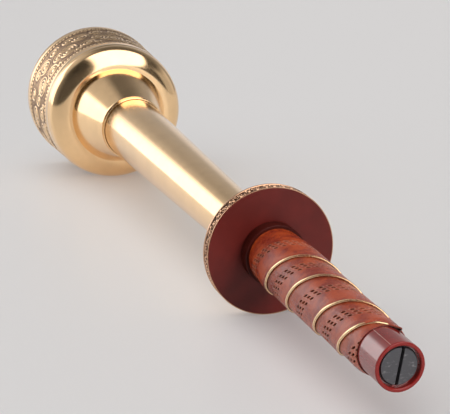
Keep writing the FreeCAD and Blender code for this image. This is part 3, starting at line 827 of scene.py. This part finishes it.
def band_height(x, y):
    """Cloud curls between two borders of pearls, on the bowl's band."""
    high = BAND_END - BAND_START
    cell = FULL_TURN * (BAND_NEAR + BAND_FAR) / 2 / BAND_REPEATS
    swing = RIPPLE_SWING * np.sin(FULL_TURN * x / cell * 2)
    ground = 0.22 + 0.2 * np.cos(FULL_TURN * (y + swing) / RIPPLE_PITCH)
    field = curled(x + 0 * y, y + 0 * x, band_curls(cell), BAND_PITCH, ground)
    near, far = (beads(x, y, middle, PEARL_SIZE, PEARL_SPACING)
                 for middle in (PEARL_INSET, high - PEARL_INSET))
    in_field = between_edges(y, high, 6.2, 6.8)
    height = np.where(in_field > 0, field * in_field, np.maximum(near, far))
    plain = np.maximum(smooth(y, 2.6, 2.3), smooth(y, high - 2.6, high - 2.3))
    return np.maximum(height, plain)


GUARD_START, GUARD_END, _, GUARD_RADIUS = span("guard_rim")
GUARD_DEPTH = 0.6
GUARD_CURLS = 44
GUARD_CURL_SIZE = 2.15
GUARD_BUD_SIZE = 1.0
GUARD_BUD_SHIFT = 1.35
GUARD_PITCH = 1.25


def guard_rim_height(x, y):
    """Small curls between two raised edges, on the guard's rim."""
    high = GUARD_END - GUARD_START
    cell = FULL_TURN * GUARD_RADIUS / GUARD_CURLS
    curls = []
    for number in range(-1, GUARD_CURLS + 1):
        wobble = random.Random(5 + number % GUARD_CURLS)
        hand = number % 2 * 2 - 1
        middle = high / 2 + wobble.uniform(-0.35, 0.35)
        size = GUARD_CURL_SIZE * wobble.uniform(0.9, 1.05)
        curls.append((((number + 0.5) * cell, middle), size, hand))
        bud = ((number + 1.0) * cell, middle + GUARD_BUD_SHIFT * hand)
        curls.append((bud, GUARD_BUD_SIZE, 1))
    field = curled(x + 0 * y, y + 0 * x, curls, GUARD_PITCH, 0.12 + 0 * x + 0 * y)
    edges = np.maximum(smooth(y, 1.0, 0.75), smooth(y, high - 1.0, high - 0.75))
    return np.maximum(field * between_edges(y, high, 1.0, 1.2), edges)


def reliefs():
    """The cast bands round the bowl and round the guard."""
    stations = np.linspace(BAND_START, BAND_END, 118)
    band = relief_ring("relief_band_scrolls", "relief_band", 1080, stations, band_height,
                       BAND_DEPTH, (BAND_NEAR, BAND_FAR))
    stand_for(band, "relief_band")
    stations = np.linspace(GUARD_START + RIM_STEP, GUARD_END, 45)
    rim = relief_ring("guard_rim_scrolls", "guard_rim", 1320, stations, guard_rim_height,
                      GUARD_DEPTH, (GUARD_RADIUS, GUARD_RADIUS))
    stand_for(rim, "guard_rim", GUARD_PATINA)


# --- Column and bowl ----------------------------------------------------------------------------
COLUMN_WALL = 1.1
FOOT_EDGE = 1.6
FOOT_ROUND = 2.35
NECK_LIP_END = 401.5
NECK_LIP_RADIUS = 19.4
NECK_WALL = 1.5
SHELL_WALL = 1.0
SHOULDER_ROUND = 12.0
SHOULDER_TURN = 31.0
SEAT_LEAD = 2.4


def column():
    """Tapered tube, and the rounded ring at its foot on the guard."""
    start, end, inner, top = span("column")
    outline = [(start, inner), (start, inner + COLUMN_WALL), (end, top), (end, top - COLUMN_WALL)]
    stand_for(lathe("column_tapered", outline, segments=384), "column")
    low, high, bore, wide = span("column_foot")
    edge = low + FOOT_EDGE
    ring = lathe("column_foot_ring", [(low, bore), (low, wide), (edge, wide, 0.3),
                                      *arc((edge, wide - FOOT_ROUND), FOOT_ROUND, 78, 22, 8)[:-1],
                                      (high, bore + 0.9, 0.2), (high, bore)])
    stand_for(ring, "column_foot")


def neck():
    """Cone with a rolled lip round the column."""
    start, end, bore, wide = span("neck_flare")
    lip, lip_end = NECK_LIP_RADIUS, NECK_LIP_END
    cone = lathe("neck_flare_polished", [(start, bore), (start, lip, 0.4), (lip_end, lip, 1.2),
                                         (end - 1, wide, 0.5), (end, wide, 0.2),
                                         (end, wide - NECK_WALL), (lip_end + 0.8, lip - 0.65),
                                         (lip_end + 0.5, bore)], segments=384)
    stand_for(cone, "neck_flare")


def bowl():
    """Polished shoulder with the band's seat behind it, and the rim that closes its mouth."""
    base, _, flange, _ = span("bowl_shell")
    high = base + SHOULDER_ROUND
    seat_near, seat_far = BAND_NEAR - BAND_THICKNESS, BAND_FAR - BAND_THICKNESS
    centre = (high, SHOULDER_TURN)
    outside = arc(centre, SHOULDER_ROUND, 180, 90, 30)
    inside = arc(centre, SHOULDER_ROUND - SHELL_WALL, 90, 180, 16)
    shell = lathe("bowl_shell_polished", [(base, flange), *outside, (high + 1, BAND_NEAR, 0.4),
                                          (BAND_START, BAND_NEAR, 0.3), (BAND_START, seat_near),
                                          (BAND_END, seat_far), (BAND_END, seat_far - SHELL_WALL),
                                          (BAND_START - SEAT_LEAD, seat_near - SHELL_WALL), *inside,
                                          (base + SHELL_WALL, flange)], segments=512)
    stand_for(shell, "bowl_shell")
    start, end, inner, outer = span("rim_ring")
    rim = lathe("rim_ring_polished", [(start, inner), (start, outer, 0.3), (end, outer, 0.6),
                                      (end, inner, 0.6)], segments=512)
    stand_for(rim, "rim_ring")


# --- CAD pieces shown with softened edges, or as they are ---------------------------------------
# Width of the softened edge of each, in mm.
SOFTENED = {"deck_plate": 0.12, "deck_posts": 0.15, "deck_nuts": 0.18, "burner_head": 0.2,
            "burner_bracket": 0.15, "bracket_screws": 0.12, "mixing_tube": 0.1, "gauze_ring": 0.12,
            "jet_holder": 0.2, "pipe_nuts": 0.2, "valve_nut": 0.25, "spring_pad": 0.2}


def softened(node, width):
    """A copy of a CAD node with a small bevel on its edges."""
    mesh = frame["nodes"][node].data.copy()
    mesh.name = node + "_softened"
    merged = bmesh.new()
    merged.from_mesh(mesh)
    bmesh.ops.remove_doubles(merged, verts=merged.verts, dist=1e-6)
    bmesh.ops.dissolve_limit(merged, angle_limit=math.radians(0.5), verts=merged.verts,
                             edges=merged.edges)
    merged.to_mesh(mesh)
    merged.free()
    piece = bpy.data.objects.new(node + "_softened", mesh)
    bpy.context.scene.collection.objects.link(piece)
    bevel = piece.modifiers.new("edges", "BEVEL")
    bevel.width, bevel.segments = width * MM, 2
    bevel.limit_method, bevel.angle_limit = "ANGLE", math.radians(38)
    bevel.use_clamp_overlap, bevel.harden_normals = True, False
    apply_modifiers(piece)
    piece.data.shade_smooth()
    piece.data.set_sharp_from_angle(angle=math.radians(32))
    return stand_for(piece, node)


def carried_over():
    """Softens some CAD nodes, and gives every node its slot's material."""
    for node, width in SOFTENED.items():
        softened(node, width)
    for node, piece in frame["nodes"].items():
        dress(piece, SLOT_OF[node])


# --- Stage ----------------------------------------------------------------------------------------
FLOOR_HALF = 40.0
FLOOR_COLOUR = (0.74, 0.722, 0.716, 1)
ROOM_TINT = (1.0, 0.985, 0.98)
# Each soft light: azimuth it comes from, elevation and softness in degrees, strength, and what it
# lights. The floor has its own key, so that its shadows fall to the right, and an even fill.
SUNS = ((190, 85, 150, 0.3, None), (80, 55, 110, 2.0, "floor"), (0, 90, 5, 0.95, "floor fill"),
        (-147, 37, 32, 2.8, "torch"), (80, 42, 60, 1.75, "torch"))
CAMERA_FROM_BUTT = Vector((-0.4839, 0.2246, 0.1946))
CAMERA_HEADING = math.radians(-17.83)
CAMERA_DIP = math.radians(14.07)
CAMERA_LENS = 120.0


def floor():
    """Pale matt floor with a fine fibre."""
    mesh = bpy.data.meshes.new("floor")
    corners = [(x * FLOOR_HALF, y * FLOOR_HALF, 0) for x, y in ((-1, -1), (1, -1), (1, 1), (-1, 1))]
    mesh.from_pydata(corners, [], [(0, 1, 2, 3)])
    sheet = bpy.data.objects.new("floor", mesh)
    bpy.context.scene.collection.objects.link(sheet)
    paint = Paint("floor", Specular_IOR_Level=0.5, Roughness=0.45)
    place = paint.add("ShaderNodeTexCoord").outputs["Object"]
    fibres = paint.noise(place, 900.0, 2)
    darker, lighter = shade(FLOOR_COLOUR, 0.985), shade(FLOOR_COLOUR, 1.015)
    paint.wire("Base Color", paint.mix(fibres, darker, lighter))
    mesh.materials.append(paint.material)


class Sky(Paint):
    """The studio as seen from the torch: what shines from each direction."""

    def __init__(self):
        world = bpy.data.worlds.new("studio")
        world.use_nodes = True
        bpy.context.scene.world = world
        self.tree = world.node_tree
        self.background = self.tree.nodes["Background"]
        direction = self.add("ShaderNodeTexCoord").outputs["Generated"]
        split = self.add("ShaderNodeSeparateXYZ", {0: direction})
        self.x, self.y, self.z = split.outputs
        self.azimuth = self.math("MULTIPLY", self.math("ARCTAN2", self.y, self.x), 180 / math.pi)
        self.elevation = self.math("MULTIPLY", self.math("ARCSINE", self.z), 180 / math.pi)

    def between(self, value, low, high, soft):
        """1 between low and high, with soft edges."""
        rise = self.remap(value, low - soft, low + soft, 0, 1)
        fall = self.remap(value, high - soft, high + soft, 1, 0)
        return self.math("MULTIPLY", rise, fall)

    def panel(self, azimuths, elevations, soft=5):
        """An upright panel that covers these azimuths and elevations, in degrees."""
        across = self.between(self.azimuth, *azimuths, soft)
        return self.math("MULTIPLY", across, self.between(self.elevation, *elevations, soft))

    def overhead(self):
        """A long softbox, from just past the torch to behind the camera, at unit height."""
        height = self.math("MAXIMUM", self.z, 0.02)
        along = self.math("DIVIDE", self.x, height)
        across = self.math("DIVIDE", self.y, height)
        left = self.math("SUBTRACT", self.math("MULTIPLY_ADD", along, 0.08, 0.36), across)
        right = self.math("SUBTRACT", across, self.math("MULTIPLY_ADD", along, 0.3, -0.95))
        mask = self.remap(along, 0.3, 0.1, 0, 1)
        for inside in (left, right):
            mask = self.math("MULTIPLY", mask, self.remap(inside, -0.1, 0.1, 0, 1))
        return mask


def surround():
    """What the torch mirrors: a softbox overhead, panels low at the sides, a dim room elsewhere."""
    sky = Sky()
    behind = sky.remap(sky.x, -0.2, 0.9, 0.09, 0.42, "LINEAR")
    high = sky.remap(sky.elevation, 22, 50, 1.0, 0.45)
    glow = sky.math("MULTIPLY", sky.panel((12, 66), (20, 62), 14), 0.4)
    lights = [(sky.overhead(), 2.6),
              (sky.panel((17, 63), (-10, 29), 4), 1.8),
              (sky.panel((-125, -66), (-10, 24), 7), 0.42),
              (sky.panel((-45, -14), (-10, 13), 6), 0.3)]
    total = sky.math("MULTIPLY_ADD", behind, high, glow)
    for mask, strength in lights:
        total = sky.math("MULTIPLY_ADD", mask, strength, total)
    grey = sky.add("ShaderNodeCombineXYZ", {0: total, 1: total, 2: total}).outputs[0]
    tinted = sky.vector("MULTIPLY", grey, Vector(ROOM_TINT))
    sky.tree.links.new(tinted, sky.background.inputs["Color"])
    bpy.context.scene.world.cycles_visibility.diffuse = False


def studio():
    """The surround and the soft lights. The view is shown without a film look."""
    surround()
    for azimuth, elevation, softness, strength, only in SUNS:
        lit = sun(azimuth, elevation, softness, strength)
        lit.data.use_shadow = only != "floor fill"
        if only:
            lit.light_linking.receiver_collection = lit_group(only.split()[0])
    bpy.context.scene.view_settings.view_transform = "Standard"


def sun(azimuth, elevation, softness, strength):
    """Soft light from far away. The torch mirrors the surround's panels in its place."""
    data = bpy.data.lights.new("soft_light", "SUN")
    data.angle = math.radians(softness)
    data.energy = strength
    lit = bpy.data.objects.new("soft_light", data)
    lit.rotation_euler = (math.radians(90 - elevation), 0, math.radians(azimuth + 90))
    lit.visible_glossy = False
    bpy.context.scene.collection.objects.link(lit)
    return lit


def lit_group(name):
    """The floor alone, or the torch alone, for light linking."""
    group = bpy.data.collections.new(name + "_lit")
    for piece in bpy.context.scene.objects:
        if piece.type == "MESH" and (piece.name == "floor") == (name == "floor"):
            group.objects.link(piece)
    return group


def camera():
    """Looks down along the torch from behind and above its butt."""
    data = bpy.data.cameras.new("camera")
    data.lens = CAMERA_LENS
    data.sensor_width = 36.0
    data.clip_start = 0.01
    viewer = bpy.data.objects.new("camera", data)
    viewer.location = BUTT + CAMERA_FROM_BUTT
    viewer.rotation_euler = (math.pi / 2 - CAMERA_DIP, 0, CAMERA_HEADING - math.pi / 2)
    bpy.context.scene.collection.objects.link(viewer)
    bpy.context.scene.camera = viewer


# --- Build ------------------------------------------------------------------------------------------
handle_tube()
leather_grip()
plug()
guard()
reliefs()
column()
neck()
bowl()
carried_over()
floor()
studio()
camera()
